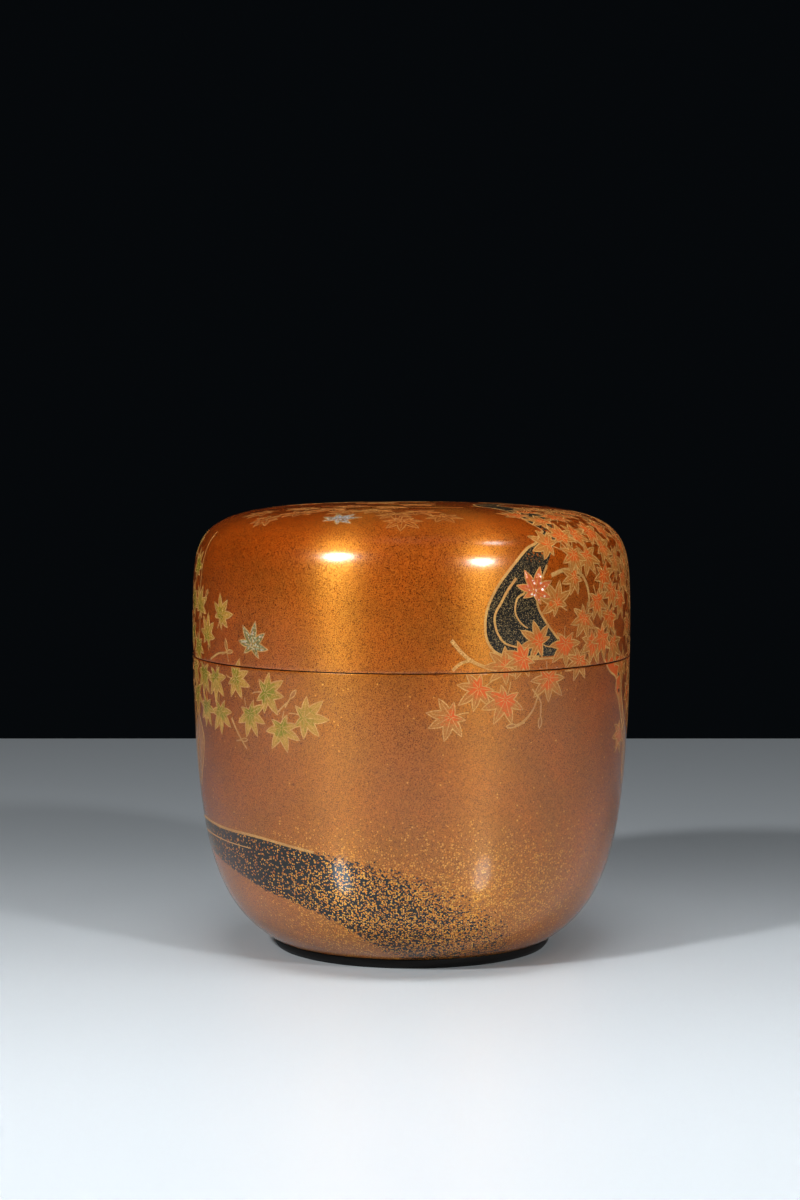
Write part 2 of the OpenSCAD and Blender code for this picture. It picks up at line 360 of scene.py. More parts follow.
def wood_material():
    s = Shade("turned_wood", roughness=0.62)
    grain = s.noise(1.1 * MM, 5, 0.6, stretch=(1, 0.07, 0.5))
    figure = s.noise(6 * MM, 3, stretch=(1, 0.1, 0.5))
    tint = s.math("ADD", s.math("MULTIPLY", grain, 0.6), s.math("MULTIPLY", figure, 0.5))
    s.colour(s.mix(s.ramp(tint, 0.35, 0.75), (0.42, 0.24, 0.11), (0.66, 0.45, 0.25)))
    s.bump(grain, 0.05 * MM, 0.5)
    return s.material


def hemp_material():
    """Plain-woven hemp, two crossing sets of threads stiffened with lacquer."""
    s = Shade("hemp_cloth", roughness=0.85)
    heights = []
    for direction in ("X", "Z"):
        inputs = {"Vector": s.place(), "Scale": 0.30 / (0.45 * MM), "Distortion": 0.6}
        wave = s.node("TexWave", inputs, wave_type="BANDS", bands_direction=direction)
        heights.append(wave.outputs["Fac"])
    weave = s.math("MAXIMUM", *heights)
    s.colour(s.mix(weave, (0.20, 0.13, 0.07), (0.58, 0.46, 0.29)))
    s.bump(weave, 0.08 * MM, 0.8)
    return s.material


def clay_material():
    s = Shade("clay_ground", roughness=0.9)
    grit = s.noise(0.5 * MM, 4, 0.7)
    s.colour(s.mix(s.ramp(grit, 0.3, 0.7), (0.13, 0.062, 0.032), (0.25, 0.13, 0.07)))
    s.bump(grit, 0.04 * MM, 0.6)
    return s.material


# ---- Mesh making ----
def new_object(name, data):
    made = bpy.data.objects.new(name, data)
    bpy.context.scene.collection.objects.link(made)
    return made


def new_piece(name, mesh, material, body, slot, *nodes):
    piece = new_object(name, mesh)
    mesh.materials.append(material)
    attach(piece, body)
    if nodes:
        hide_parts(*nodes)


TURNS = 288
EDGE_ANGLE = math.radians(35)
ON_AXIS = 1e-7


def closed_mesh(name, bm):
    """The mesh of closed shapes, smooth but for their sharp edges."""
    bmesh.ops.recalc_face_normals(bm, faces=bm.faces)
    mesh = bpy.data.meshes.new(name)
    bm.to_mesh(mesh)
    bm.free()
    mesh.shade_smooth()
    mesh.set_sharp_from_angle(angle=EDGE_ANGLE)
    return mesh


def turned_mesh(name, loop):
    """A closed solid of revolution from a closed loop of [radius, height] points."""
    bm = bmesh.new()
    angles = [2 * math.pi * k / TURNS for k in range(TURNS)]
    rings = []
    for r, z in loop:
        if r < ON_AXIS:
            rings.append([bm.verts.new((0, 0, z))] * TURNS)
        else:
            rings.append([bm.verts.new((r * math.sin(a), -r * math.cos(a), z)) for a in angles])
    for a, b in zip(rings, rings[1:] + rings[:1]):
        for k in range(TURNS):
            quad = [a[k], a[(k + 1) % TURNS], b[(k + 1) % TURNS], b[k]]
            corners = list(dict.fromkeys(quad))
            if len(corners) > 2:
                bm.faces.new(corners)
    return closed_mesh(name, bm)


def ground_points(arc0, arc1, count, depth=0.0):
    """Points of the section from one arc length to another, depth inside the ground."""
    point, normal = section(np.linspace(arc0, arc1, count))
    return [tuple(p) for p in point - depth * normal]


def turned_piece(name, loop, material, body, slot, node):
    new_piece(name, turned_mesh(name, loop), material, body, slot, node)


def quarter(start, corner, end, steps=5):
    """Short curve from start to end that rounds a corner."""
    start, corner, end = Vector(start), Vector(corner), Vector(end)
    ts = [k / steps for k in range(steps + 1)]
    return [tuple((1 - t) ** 2 * start + 2 * t * (1 - t) * corner + t * t * end) for t in ts]


def rounded(loop, reach):
    """The loop with each corner off the axis softened over a short reach."""
    made = []
    for i, place in enumerate(loop):
        if place[0] < ON_AXIS:
            made.append(place)
            continue
        at = Vector(place)
        lead, leave = Vector(loop[i - 1]) - at, Vector(loop[(i + 1) % len(loop)]) - at
        start = at + lead.normalized() * min(reach, lead.length / 2)
        end = at + leave.normalized() * min(reach, leave.length / 2)
        made += quarter(start, at, end, 4)
    return made


SEAM_R = float(section(SEAM_ARC)[0][0])
GROOVE_MIDDLE = (SEAM_Z + RIM_Z) / 2
LID_EDGE_Z, BODY_EDGE_Z = GROOVE_MIDDLE + GROOVE / 2, GROOVE_MIDDLE - GROOVE / 2


def lid_shell():
    outer = ground_points(0, arc_at_height(LID_EDGE_Z + ARRIS), 130)
    edge = quarter(outer[-1], (SEAM_R, LID_EDGE_Z), (SEAM_R - ARRIS, LID_EDGE_Z))
    inner = ground_points(SEAM_ARC, 0, 60, SHELL_DEPTH)
    inner[0] = (inner[0][0], LID_EDGE_Z)
    inner[-1] = (0, inner[-1][1])
    turned_piece(
        "lid_gold_coat", outer + edge[1:] + inner, gold_dust_material(),
        "lid", "gold_lacquer", "lid_outer_lacquer")


def body_shell():
    outer = ground_points(arc_at_height(BODY_EDGE_Z - ARRIS), ARC[-1], 170)
    edge = quarter((SEAM_R - ARRIS, BODY_EDGE_Z), (SEAM_R, BODY_EDGE_Z), outer[0])
    inner = ground_points(ARC[-1], SEAM_ARC, 60, SHELL_DEPTH)
    inner[-1] = (inner[-1][0], BODY_EDGE_Z)
    mesh = turned_mesh("body_gold_coat", edge + outer[1:] + inner)
    paint_band(mesh)
    new_piece(
        "body_gold_coat", mesh, body_dust_material(), "caddy_body", "gold_lacquer", "body_outer_lacquer")


def smooth(value, low, high):
    """0 below low, 1 above high, smooth between, for arrays."""
    t = np.clip((value - low) / (high - low), 0, 1)
    return t * t * (3 - 2 * t)


def through(values, places):
    """Straight lines through (degrees, value) points, read at other degrees."""
    known, heights = np.array(places, float).T
    return np.interp(values, known, heights)


def apart(around, middle):
    """Degrees between places round the axis."""
    return np.abs((around - middle + 180) % 360 - 180)


# Upper and lower edge of the dark band, as (degrees round from the front, arc in mm)
BAND_TOP = [
    (-180, 73.5), (-150, 72), (-120, 73.5), (-100, 75.2), (-78, 74.5), (-61, 74.8), (-46, 75), (-35, 75.7),
    (-26, 76.5), (-20, 77.3), (-11, 78.5), (-3, 80), (5, 82), (12, 84), (19, 86), (30, 90), (40, 97),
    (130, 97), (150, 84), (165, 77), (180, 73.5),
]
BAND_LOW = [
    (-180, 88), (-150, 84), (-120, 81), (-100, 79.5), (-78, 79.3), (-68, 80.3), (-57, 81.5), (-48, 83),
    (-37, 84.5), (-26, 86.5), (-20, 88.7), (-15, 90.5), (-5, 95), (5, 99), (130, 99), (150, 94), (180, 88),
]


def paint_band(mesh):
    """Writes how inky the ground is, and how thick the coarse flakes lie, on each point of the body."""
    count = len(mesh.vertices)
    where = np.empty(count * 3)
    mesh.vertices.foreach_get("co", where)
    where = where.reshape(count, 3)
    around = np.degrees(np.arctan2(where[:, 0], -where[:, 1]))
    arc = np.interp(-where[:, 2], -OUTLINE[:, 1], ARC) / MM
    inside = np.minimum(arc - through(around, BAND_TOP), through(around, BAND_LOW) - arc)
    before_back = 1 - smooth(around, 120, 160)
    edge = 0.15 + 3.2 * smooth(around, -34, 8) * before_back
    thick = 0.95 - 0.45 * smooth(around, -10, 30) * before_back
    ink = smooth(inside, -edge, edge) * thick
    front, back = apart(around, 4), apart(around, 175)
    drift = np.maximum(1 - smooth(front, 15, 62), 0.75 * (1 - smooth(back, 20, 60)))
    fall = smooth(arc, 70, 83) * (1 - 0.5 * smooth(arc, 90, 97))
    sprinkle = 0.40 * drift * fall + 0.10 * smooth(inside, -0.2, 0.2) + 0.004
    for name, values in (("ink", ink), ("sprinkle", sprinkle)):
        layer = mesh.attributes.new(name, "FLOAT", "POINT")
        layer.data.foreach_set("value", values.astype(np.float32))


def inner_curve(*points):
    return [tuple(p) for p in cubic(points, 60)[0]]


def lacquer_linings():
    """The black coats: inside the cup, over the neck, inside the lid, on its rim and under the foot."""
    black_lacquer = black_lacquer_material()
    cup = inner_curve(
        (MOUTH_R, WALL_Z), (MOUTH_R, FLOOR_Z + MM), (MOUTH_R - FLOOR_TURN, FLOOR_Z), (0, FLOOR_Z))
    outer_cup = inner_curve(
        (0, FLOOR_Z - COAT_T), (MOUTH_R - FLOOR_TURN, FLOOR_Z - COAT_T),
        (MOUTH_R + COAT_T, FLOOR_Z + MM), (MOUTH_R + COAT_T, WALL_Z))
    turned_piece(
        "cup_lining", [(MOUTH_R, LIP_Z)] + cup + outer_cup + [(MOUTH_R + COAT_T, LIP_Z)],
        black_lacquer, "caddy_body", "black_lacquer", "body_inner_lacquer")

    neck = [
        (LEDGE_R, SEAM_Z), (NECK_R, SEAM_Z), (NECK_R, NECK_TOP_Z), (MOUTH_R, NECK_TOP_Z), (MOUTH_R, LIP_Z),
        (NECK_R - COAT_T, LIP_Z), (NECK_R - COAT_T, SEAM_Z - COAT_T), (LEDGE_R, SEAM_Z - COAT_T),
    ]
    turned_piece(
        "neck_coat", rounded(neck, 0.25 * MM), black_lacquer, "caddy_body", "black_lacquer", "neck_lacquer")

    foot = [
        (0, RECESS_Z), (18.9 * MM, RECESS_Z), (19.1 * MM, 0), (20.4 * MM, 0), (20.9 * MM, 0.6 * MM),
        (FOOT_R - SINK, FOOT_Z), (FOOT_R - 0.6 * MM, FOOT_Z + 0.3 * MM), (20 * MM, RECESS_Z + 0.3 * MM),
        (0, RECESS_Z + 0.3 * MM),
    ]
    turned_piece(
        "foot_coat", rounded(foot, 0.18 * MM), foot_material(), "caddy_body", "black_lacquer", "base_lacquer")

    hollow = inner_curve(
        (0, CEILING_Z), (CEILING_REACH, CEILING_Z), (BORE_R, CEILING_Z - CEILING_FALL), (BORE_R, LID_WALL_Z))
    outer_hollow = inner_curve(
        (BORE_R + COAT_T, LID_WALL_Z), (BORE_R + COAT_T, CEILING_Z - CEILING_FALL),
        (CEILING_REACH, CEILING_Z + COAT_T), (0, CEILING_Z + COAT_T))
    rim_top = RIM_Z + COAT_T
    turned_piece(
        "lid_lining", hollow + [(BORE_R, rim_top), (BORE_R + COAT_T, rim_top)] + outer_hollow,
        black_lacquer, "lid", "black_lacquer", "lid_inner_lacquer")
    rim = [(BORE_R, rim_top), (BORE_R, RIM_Z), (LEDGE_R, RIM_Z), (LEDGE_R, rim_top)]
    turned_piece(
        "lid_rim_coat", rounded(rim, 0.1 * MM), black_lacquer, "lid", "black_lacquer", "lid_rim_lacquer")


def dress_hidden_layers():
    """Materials for the layers that stay as the CAD made them, inside the lacquer."""
    finishes = {
        "wood_core": wood_material(), "mouth_cloth": hemp_material(), "ground_coat": clay_material()}
    finishes["base_cloth"] = finishes["rim_cloth"] = finishes["mouth_cloth"]
    for name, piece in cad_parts.items():
        for ending, material in finishes.items():
            if name.endswith(ending):
                for slot in piece.material_slots:
                    slot.material = material


lid_shell()
body_shell()
lacquer_linings()
dress_hidden_layers()


# ---- The picture: closed shapes on the ground, split between lid and body at the seam ----
UNDER = -0.03 * MM            # underside of every shape, inside the ground
TRUNK_LIFT = 0.008 * MM
FIRST_LIFT = 0.022 * MM       # of the lowest leaves
LEVEL_STEP = 0.012 * MM       # between leaves that overlap
RISE = 0.009 * MM             # of a gold line's ridge over the leaf it lies on


class Picture:
    """Closed shapes of one finish."""

    def __init__(self, name, material, slot):
        self.name, self.material, self.slot = name, material, slot
        self.shapes = []

    def add(self, points, faces, heart=None, tone=0.5):
        heart = np.zeros(len(points)) if heart is None else heart
        self.shapes.append((points, faces, heart, np.full(len(points), tone)))

    def make(self, body, above, name, *nodes):
        """One piece of the shapes on the lid, above the seam, or on the body, below it."""
        cut = LID_EDGE_Z + ARRIS if above else BODY_EDGE_Z - ARRIS
        made = bmesh.new()
        layers = [made.verts.layers.float.new(key) for key in ("heart", "tone")]
        for points, faces, heart, tone in self.shapes:
            z = points[:, 2]
            if (z.max() <= cut) if above else (z.min() >= cut):
                continue
            verts = [made.verts.new(p) for p in points]
            for vert, values in zip(verts, zip(heart, tone)):
                for layer, value in zip(layers, values):
                    vert[layer] = value
            new = [made.faces.new([verts[i] for i in face]) for face in faces]
            if z.min() < cut < z.max():
                geom = verts + new + list({e for f in new for e in f.edges})
                done = bmesh.ops.bisect_plane(
                    made, geom=geom, dist=1e-8, plane_co=(0, 0, cut),
                    plane_no=(0, 0, -1 if above else 1), clear_outer=True)
                rim = [e for e in done["geom_cut"] if isinstance(e, bmesh.types.BMEdge)]
                bmesh.ops.holes_fill(made, edges=rim)
        if not made.verts:
            made.free()
            return
        bmesh.ops.triangulate(made, faces=[f for f in made.faces if len(f.verts) > 4])
        new_piece(name, closed_mesh(name, made), self.material, body, self.slot, *nodes)

    def finish(self):
        self.make("lid", True, "lid_" + self.name)
        self.make("caddy_body", False, "body_" + self.name)


lines = Picture("gold_lines", gold_line_material(), "gold_line")
trunk = Picture("trunk", trunk_material(), "black_lacquer")
red_leaves, green_leaves, gold_leaves = (
    Picture(colour + "_leaves", leaf_material(colour + "_maple", *finish), "maple_leaf")
    for colour, *finish in (
        ("red", (0.68, 0.10, 0.012), (0.36, 0.105, 0.014), (0.54, 0.22, 0.05)),
        ("green", (0.21, 0.18, 0.008), (0.40, 0.17, 0.020), (0.58, 0.32, 0.065)),
        ("gold", (0.26, 0.12, 0.03), (0.32, 0.10, 0.022), (0.46, 0.19, 0.05))))


def path(places, step=0.35 * MM, closed=False):
    """Even points on a smooth curve through (degrees, arc mm) places."""
    known = np.array(places, float) * (math.pi / 180, MM)
    if closed:
        known = np.concatenate([known[-1:], known, known[:2]])
    else:
        known = np.concatenate([2 * known[:1] - known[1:2], known, 2 * known[-1:] - known[-2:-1]])
    made = []
    for a, b, c, d in zip(known, known[1:], known[2:], known[3:]):
        t = np.linspace(0, 1, 24, endpoint=False)[:, None]
        made.append(0.5 * (2 * b + (c - a) * t + (2 * a - 5 * b + 4 * c - d) * t ** 2
                           + (3 * b - a - 3 * c + d) * t ** 3))
    made = np.concatenate(made + ([] if closed else [known[-2:-1]]))
    ring = np.concatenate([made, made[:1]]) if closed else made
    at, _ = on_ground(ring[:, 0], ring[:, 1])
    run = np.concatenate([[0], np.cumsum(np.linalg.norm(np.diff(at, axis=0), axis=1))])
    stops = np.linspace(0, run[-1], max(3, int(run[-1] / step) + 1))
    if closed:
        stops = stops[:-1]
    return np.interp(stops, run, ring[:, 0]), np.interp(stops, run, ring[:, 1])


def ribbon(picture, around, arc, width, lift, rise=RISE, closed=False):
    """A low ridge along a path, with a width at each point, closed underneath."""
    centre, outward = on_ground(around, arc, lift)
    if closed:
        run = np.roll(centre, -1, axis=0) - np.roll(centre, 1, axis=0)
    else:
        run = np.gradient(centre, axis=0)
    side = np.cross(outward, run)
    side /= np.maximum(np.linalg.norm(side, axis=1, keepdims=True), 1e-12)
    half = np.broadcast_to(np.asarray(width, float) / 2, around.shape)[:, None] * side
    ring = np.stack([centre + half, centre + rise * outward, centre - half,
                     centre + (UNDER - lift) * outward], axis=1)
    count = len(around)
    faces = []
    for i in range(count if closed else count - 1):
        j = (i + 1) % count
        faces += [(4 * i + k, 4 * i + (k + 1) % 4, 4 * j + (k + 1) % 4, 4 * j + k) for k in range(4)]
    if not closed:
        faces += [(0, 1, 2, 3), tuple(4 * count - 4 + k for k in (3, 2, 1, 0))]
    picture.add(ring.reshape(-1, 3), faces)


def stroke(places, width, end_width=None, lift=FIRST_LIFT, picture=None):
    """A gold line through places, tapering from one width to another, in mm."""
    around, arc = path(places)
    widths = np.linspace(width, width if end_width is None else end_width, len(around)) * MM
    ribbon(picture or lines, around, arc, widths, lift)


def filled(picture, outline, lay_down, lift, spacing, shade=None, tone=0.5):
    """A closed slab over a plane outline, with inner points so that it follows the ground."""
    outline = np.asarray(outline)
    low, high = outline.min(axis=0), outline.max(axis=0)
    xs = np.arange(low[0] + spacing / 2, high[0], spacing)
    ys = np.arange(low[1] + spacing / 2, high[1], spacing)
    grid = np.stack(np.meshgrid(xs, ys), axis=-1).reshape(-1, 2)
    nxt = np.roll(outline, -1, axis=0)
    edge = nxt - outline
    length2 = np.maximum((edge ** 2).sum(axis=1), 1e-18)
    offset = grid[:, None, :] - outline[None]
    t = np.clip((offset * edge).sum(axis=2) / length2, 0, 1)
    far = np.linalg.norm(offset - t[..., None] * edge, axis=2).min(axis=1)
    crosses = (outline[:, 1] > grid[:, None, 1]) != (nxt[:, 1] > grid[:, None, 1])
    rise = np.where(np.abs(edge[:, 1]) < 1e-15, 1e-15, edge[:, 1])
    at_x = outline[:, 0] + (grid[:, None, 1] - outline[:, 1]) / rise * edge[:, 0]
    inside = ((crosses & (grid[:, None, 0] < at_x)).sum(axis=1) % 2 == 1) & (far > spacing * 0.35)
    plane = np.concatenate([outline, grid[inside]])
    count = len(outline)
    done = delaunay_2d_cdt(
        [Vector(p / MM) for p in plane], [], [list(range(count))], 1, 1e-6)
    flat = np.array([tuple(v) for v in done[0]]) * MM
    faces = [tuple(f) for f in done[2]]
    used = sorted({i for f in faces for i in f})
    index = {old: new for new, old in enumerate(used)}
    faces = [tuple(index[i] for i in f) for f in faces]
    flat = flat[used]
    around, arc = lay_down(flat)
    top, _ = on_ground(around, arc, lift)
    low_side, _ = on_ground(around, arc, UNDER)
    n = len(flat)
    sides = dict.fromkeys((a, b) for f in faces for a, b in zip(f, f[1:] + f[:1]))
    walls = [(a, a + n, b + n, b) for a, b in sides if (b, a) not in sides]
    heart = None if shade is None else np.tile(shade(flat), 2)
    picture.add(np.concatenate([top, low_side]),
                faces + [tuple(i + n for i in reversed(f)) for f in faces] + walls, heart, tone)


# Bearing and length of each lobe, clockwise from the middle one
LOBES = [(-135, 0.60), (-88, 0.85), (-43, 0.97), (0, 1.0), (43, 0.97), (88, 0.85), (135, 0.60)]
VALLEY = 0.46


def bearing(degrees, length):
    return np.array([math.sin(math.radians(degrees)), math.cos(math.radians(degrees))]) * length


def leaf_shape(size, rng):
    """Outline of a seven-lobed leaf with its middle lobe up, and the tips of its lobes."""
    lobes = [(a + rng.uniform(-4, 4), size * l * rng.uniform(0.92, 1.06)) for a, l in LOBES]
    valleys = [bearing(180, 0.16 * size)]
    for (a0, l0), (a1, l1) in zip(lobes, lobes[1:]):
        valleys.append(bearing((a0 + a1) / 2, VALLEY * (l0 + l1) / 2 * rng.uniform(0.92, 1.08)))
    valleys.append(valleys[0])
    outline = []
    for (turn, length), before, after in zip(lobes, valleys, valleys[1:]):
        tip = bearing(turn, length)
        across = bearing(turn + 90, 0.205 * length)
        steps = np.arange(5) / 5
        for valley, side, ts in ((before, -across, steps), (after, across, 1 - steps)):
            shoulder = 0.58 * tip + side
            outline += [(1 - t) ** 2 * valley + 2 * t * (1 - t) * shoulder + t * t * tip for t in ts]
    return np.array(outline), [bearing(a, l) for a, l in lobes]


def turned_by(points, degrees):
    a = math.radians(degrees)
    return np.asarray(points) @ np.array([[math.cos(a), -math.sin(a)], [math.sin(a), math.cos(a)]])


placed_leaves = []


def free_level(around, arc, size):
    """Lowest level that no overlapping leaf has taken yet."""
    (here,), _ = on_ground(np.array([around]), np.array([arc]))
    taken = {level for there, reach, level in placed_leaves
             if np.linalg.norm(here - there) < (reach + size) * 0.9}
    level = next(k for k in range(99) if k not in taken)
    placed_leaves.append((here, size, level))
    return min(level, 5)


def leaf(picture, around, arc, size, spin, line=0.17, lift=None, stem=0.5):
    """One leaf at (degrees, arc mm), its middle lobe turned clockwise from upwards, or only its lines."""
    rng = random.Random(round(around * 7919 + arc * 104729))
    around, arc, size = math.radians(around), arc * MM, size * MM
    if lift is None:
        lift = FIRST_LIFT + LEVEL_STEP * free_level(around, arc, size)
    outline, tips = leaf_shape(size, rng)
    outline, tips = turned_by(outline, spin), turned_by(tips, spin)

    def down(plane):
        return lay(around, arc, np.asarray(plane))

    def shade(plane):
        return 1 - np.linalg.norm(plane, axis=1) / size

    if picture:
        filled(picture, outline, down, lift, 0.55 * MM, shade, rng.random())
    inset = outline - outline / np.linalg.norm(outline, axis=1, keepdims=True) * 0.04 * MM
    ribbon(lines, *down(inset), line * MM, lift, closed=True)
    for tip in tips:
        ribbon(lines, *down(np.outer(np.linspace(0.06, 0.78, 6), tip)),
               np.linspace(0.10, 0.05, 6) * MM, lift, RISE * 0.8)
    if stem:
        base = turned_by([bearing(180 + rng.uniform(-25, 25), 1)], spin)[0]
        bend = turned_by([base], rng.uniform(-20, 20))[0]
        steps = np.linspace(0.1, 1, 6)[:, None]
        curl = base * (1 - steps) + bend * steps
        run = size * (0.16 * (1 - steps) * base + (0.16 + stem) * steps * curl)
        ribbon(lines, *down(run), np.linspace(0.16, 0.20, 6) * MM, lift, RISE * 0.8)


def bud(around, arc, size, spin):
    """A small pointed bud on a short stalk, pointing along its spin."""
    t = np.linspace(0, 1, 9)[:, None]
    right = np.array([0.36, 0.45]) * 2 * t * (1 - t) + np.array([0, 1]) * t ** 2
    left = (right * (-1, 1))[::-1][1:-1]
    outline = turned_by(np.concatenate([right, left]) * size * MM, spin)
    around, arc = math.radians(around), arc * MM
    lift = FIRST_LIFT + 2 * LEVEL_STEP
    filled(gold_leaves, outline, lambda plane: lay(around, arc, plane), lift, 0.4 * MM)
    ribbon(lines, *lay(around, arc, outline), 0.15 * MM, lift, closed=True)
    stalk = turned_by(np.outer(np.linspace(0, 0.9, 5), [0.12, -1]) * size * MM, spin)
    ribbon(lines, *lay(around, arc, stalk), 0.22 * MM, lift)


SPRAY_LEAF = 3.6


def spray(picture, places, leaves, seed, droop):
    """A twig through places with leaves left and right of it, all hanging more or less one way."""
    rng = random.Random(seed)
    stroke(places, 0.5, 0.2)
    around, arc = path(places)
    for k in range(leaves):
        t = int((0.12 + 0.88 * (k + 0.5) / leaves) * (len(around) - 1))
        side = -1 if k % 2 else 1
        radius = section(arc[t])[0][0]
        out = SPRAY_LEAF * rng.uniform(0.5, 1.0)
        spot = (math.degrees(around[t]) + side * math.degrees(out * MM / radius) * rng.uniform(0.5, 1.2),
                arc[t] / MM + out * rng.uniform(-0.35, 0.75))
        leaf(picture, *spot, SPRAY_LEAF * rng.uniform(0.82, 1.08), droop - side * rng.uniform(10, 60))


# Trunk: a burl at the front right of the lid, and a limb over the crown that comes down at the back
BURL = [
    (39, 30), (36.5, 31), (34, 32.3), (30.5, 33.2), (25, 36), (21, 38.7), (18.6, 41.5), (18, 44),
    (18.6, 46), (20.5, 47.5), (23, 48.1), (27, 48.4), (33, 48.5), (39, 48.4), (41.5, 47.8), (39, 46.2),
    (35.5, 44), (32.6, 41.2), (33.6, 38), (36, 35.6), (38.5, 33.6), (41.5, 31.4),
]
LIMB_LEFT = [(39, 30), (37.5, 27), (40, 22.5), (44, 17), (50, 12.5), (74, 10), (105, 14), (124, 22),
             (131, 31), (134, 40), (136, 52), (137, 64), (132, 76)]
LIMB_RIGHT = [(41.5, 31.4), (46, 27.5), (51, 23.5), (56, 19), (66, 14), (92, 14.5), (116, 20), (137, 27),
              (145, 34), (148, 42), (149, 52), (152, 64), (160, 76)]


def disk(places):
    """Chart places as points of a disk, with arc length as the radius."""
    a, s = np.radians([p[0] for p in places]), np.array([p[1] for p in places]) * MM
    return np.stack([s * np.sin(a), -s * np.cos(a)], axis=1)


def from_disk(plane):
    return np.arctan2(plane[:, 0], -plane[:, 1]), np.hypot(plane[:, 0], plane[:, 1])


def smooth_places(places, step, closed=False):
    return [(math.degrees(a), s / MM) for a, s in zip(*path(places, step, closed))]


def paint_trunk():
    filled(trunk, disk(smooth_places(BURL, 0.5 * MM, closed=True)), from_disk, TRUNK_LIFT, 0.7 * MM)
    left, right = smooth_places(LIMB_LEFT, 0.7 * MM), smooth_places(LIMB_RIGHT, 0.7 * MM)
    filled(trunk, disk(left + right[::-1]), from_disk, TRUNK_LIFT, 0.8 * MM)
    grain = [
        (BURL[:13], 0.42, 0.35), (LIMB_LEFT, 0.30, 0.40), (LIMB_RIGHT[2:], 0.25, 0.35),
        ([(36, 35.6), (34.5, 37), (33.3, 38.2), (32.4, 41), (34.8, 43.5), (39, 46.2)], 0.35, 0.35),
        ([(26.5, 37.3), (24, 39), (22.2, 40.7), (20.6, 42.3), (20.6, 43.8), (21.5, 45.2), (23.3, 46.4),
          (26.5, 47), (29, 47.4)], 0.42, 0.25),
        ([(28.8, 39.4), (26.6, 40.2), (26, 42), (27, 43.2), (28.4, 44), (29.6, 44.4)], 0.34, 0.2),
        ([(37, 37.1), (42, 36.4), (47, 37), (49.5, 38.5), (50.5, 40.8), (50, 43)], 0.62, 0.4),
        ([(22, 48.6), (30, 48.8), (38, 48.8), (46, 48.9)], 0.3, 0.25),
    ]
    for k, (turn, top) in enumerate(((46, 12.2), (60, 11.8), (90, 12.3), (128, 27), (140, 44), (143, 58))):
        lean = 3 if k % 2 else -2
        grain.append(([(turn, top), (turn + lean, top + 3.5), (turn + lean / 2, top + 7)], 0.22, 0.08))
    for places, width, end_width in grain:
        stroke(places, width, end_width, TRUNK_LIFT)


# Leaves, each (degrees, arc mm, size mm, spin)
SEEN_RED = [
    (16.5, 52.6, 3.7, 235), (9.5, 56.5, 3.9, 240), (23.5, 54.3, 3.9, 205), (36, 51.6, 3.7, 180),
    (38, 32.6, 3.4, 300), (44, 31.5, 3.4, 20), (50, 31, 3.3, 70), (58, 30.5, 3.5, 120), (67, 30, 3.5, 90),
    (51, 34.6, 3.5, 150), (58, 37.5, 3.6, 170), (68, 41, 3.6, 200), (38.5, 41, 3.6, 330),
    (48.5, 43.4, 3.5, 210), (54, 41, 3.4, 160), (60.5, 43.5, 3.6, 190), (33, 46.4, 3.6, 300),
    (41.5, 46.8, 3.7, 180), (52.5, 47, 3.6, 200), (63, 47.5, 3.6, 170), (23.5, 49.6, 3.4, 270),
    (66, 35.5, 3.4, 140), (75, 35, 3.6, 160), (76, 45, 3.6, 190), (43, 27.6, 3.5, 340),
    (52, 26.5, 3.5, 30), (61, 25, 3.4, 60), (72, 25, 3.5, 100), (48, 22.5, 3.3, 10), (45, 37.5, 3.0, 250),
    (60, 33.5, 3.5, 110), (70, 50.5, 3.7, 180), (57, 46.5, 3.6, 215), (81, 30, 3.6, 120),
    (46.5, 49.4, 3.3, 200), (28.5, 48.6, 3.3, 250), (80, 40, 3.6, 170), (62, 39.8, 3.5, 205),
    (84, 49, 3.6, 185), (38.5, 24.5, 3.2, 350), (66, 21.5, 3.4, 80), (58, 20.5, 3.2, 40),
    (46, 34.2, 3.2, 200), (71, 38, 3.4, 140),
]
SEEN_GREEN = [
    (-57, 43.4, 3.3, 40), (-65, 46.6, 3.5, 10), (-79, 42, 3.5, 60), (-75, 37, 3.3, 350),
    (-67.5, 52.2, 3.6, 185), (-60, 52.5, 3.6, 175), (-50.5, 52.2, 3.6, 110), (-39.3, 53.8, 3.8, 100),
    (-44.8, 57, 3.7, 155), (-57.5, 57.3, 3.7, 175), (-34.3, 58.6, 3.7, 165), (-27.6, 57, 3.9, 95),
    (-85, 47, 3.5, 30), (-77, 51.5, 3.5, 170), (-90, 53, 3.5, 190), (-85, 34, 3.4, 20),
    (-80, 46.5, 3.4, 150), (-70.5, 42.5, 3.4, 20), (-72, 48.2, 3.4, 200), (-66, 57, 3.5, 190),
    (-75, 55.5, 3.5, 150),
]
CROWN_GOLD = [
    (-56, 18.5, 3.4, 200), (-46, 22.5, 3.4, 150), (-38, 18.5, 3.3, 190), (-28, 20.5, 3.3, 170),
    (-15, 19, 3.3, 200), (-6, 22.5, 3.4, 170), (3, 20, 3.3, 150), (-3, 26.4, 3.4, 180),
    (10, 24, 3.3, 160), (-65, 24, 3.4, 210), (-52, 26.5, 3.2, 180), (-12, 13.5, 3.2, 200),
    (-42, 12.5, 3.2, 210),
]


def paint_leaves():
    for picture, spots, line in (
            (red_leaves, SEEN_RED, 0.17), (green_leaves, SEEN_GREEN, 0.17), (None, CROWN_GOLD, 0.13)):
        for spot in spots:
            leaf(picture, *spot, line=line)


def below_seam(plane):
    """How near the seam the places are, from 1 at the seam to 0 lower down."""
    return np.clip(1 - (np.hypot(*plane.T) / MM - 50) / 13, 0, 1)


